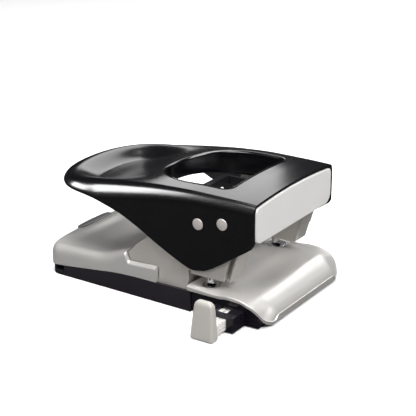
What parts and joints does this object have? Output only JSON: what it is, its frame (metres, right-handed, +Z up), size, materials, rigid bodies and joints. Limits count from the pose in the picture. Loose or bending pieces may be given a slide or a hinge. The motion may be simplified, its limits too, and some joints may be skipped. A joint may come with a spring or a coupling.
{
  "type": "hole punch",
  "caption": "Desk hole punch: curved lever handle with a D-shaped window, sprung punch pins, paper table, sliding side guide and hinged chip tray.",
  "frame": {"origin": "on the desk plane, midway between the two punch pins", "axes": "+X across the punch, +Y towards the grip end, -Y to the paper side, +Z up"},
  "size_m": [0.133, 0.1771, 0.0847],
  "materials": {
    "handle_gloss": "gloss black handle shell",
    "panel_silver": "satin silver face plate",
    "cast_silver": "silver painted die-cast frame",
    "sheet_silver": "silver painted covers and table",
    "steel": "plain steel fittings",
    "chrome": "hardened polished steel",
    "cap_silver": "satin silver axle caps",
    "bracket_black": "black painted steel bracket",
    "base_black": "matt black base plastic",
    "tray_black": "fine textured black tray plastic",
    "guide_white": "white guide bar",
    "stop_grey": "warm light grey stop",
    "slider_grey": "grey thumb slide",
    "rubber": "black anti-slip rubber"
  },
  "bodies": {
    "base": {"stop_wall": "cast_silver", "paper_table": "sheet_silver", "base_housing": "base_black", "front_feet": "rubber", "frame_screws": "steel", "cover_screws": "steel", "rear_cover": "sheet_silver", "tray_rod": "steel", "guide_detent": "steel", "side_frame_left": "cast_silver", "punch_head_left": "cast_silver", "head_cover_left": "cast_silver", "die_bush_left": "chrome", "return_spring_left": "steel", "side_frame_right": "cast_silver", "punch_head_right": "cast_silver", "head_cover_right": "cast_silver", "die_bush_right": "chrome", "return_spring_right": "steel"},
    "handle": {"handle_shell": "handle_gloss", "window_collar": "handle_gloss", "front_panel": "panel_silver", "lever_bracket": "bracket_black", "pivot_axle": "steel", "pusher_axle": "steel", "axle_caps": "cap_silver"},
    "pin_left": {"punch_pin_left": "chrome", "pin_head_left": "steel"},
    "pin_right": {"punch_pin_right": "chrome", "pin_head_right": "steel"},
    "tray": {"chip_tray": "tray_black", "tray_feet": "rubber"},
    "guide": {"guide_bar": "guide_white", "guide_stop": "stop_grey"},
    "lock": {"lock_slider": "slider_grey"}
  },
  "joints": [
    {"name": "handle_press", "type": "hinge", "parent": "base", "child": "handle", "pos_m": [0, -0.0136, 0.0632], "axis": [-1, 0, 0], "range_deg": [0, 14.5], "stiffness_Nm_per_rad": 0.6, "springref_deg": -22.92},
    {"name": "pin_left_slide", "type": "slide", "parent": "base", "child": "pin_left", "axis": [0, 0, -1], "range_m": [0, 0.0043], "deforming": ["return_spring_left"]},
    {"name": "pin_right_slide", "type": "slide", "parent": "base", "child": "pin_right", "axis": [0, 0, -1], "range_m": [0, 0.0043], "deforming": ["return_spring_right"]},
    {"name": "tray_hinge", "type": "hinge", "parent": "base", "child": "tray", "pos_m": [0, -0.007, 0.0036], "axis": [-1, 0, 0], "range_deg": [0, 40]},
    {"name": "guide_slide", "type": "slide", "parent": "base", "child": "guide", "axis": [-1, 0, 0], "range_m": [-0.0098, 0.0745]},
    {"name": "lock_slide", "type": "slide", "parent": "base", "child": "lock", "axis": [0, -1, 0], "range_m": [0, 0.003]}
  ],
  "couplings": [
    {"joint": "pin_left_slide", "follows": "handle_press", "m_per_rad": 0.01692},
    {"joint": "pin_right_slide", "follows": "handle_press", "m_per_rad": 0.01692}
  ]
}
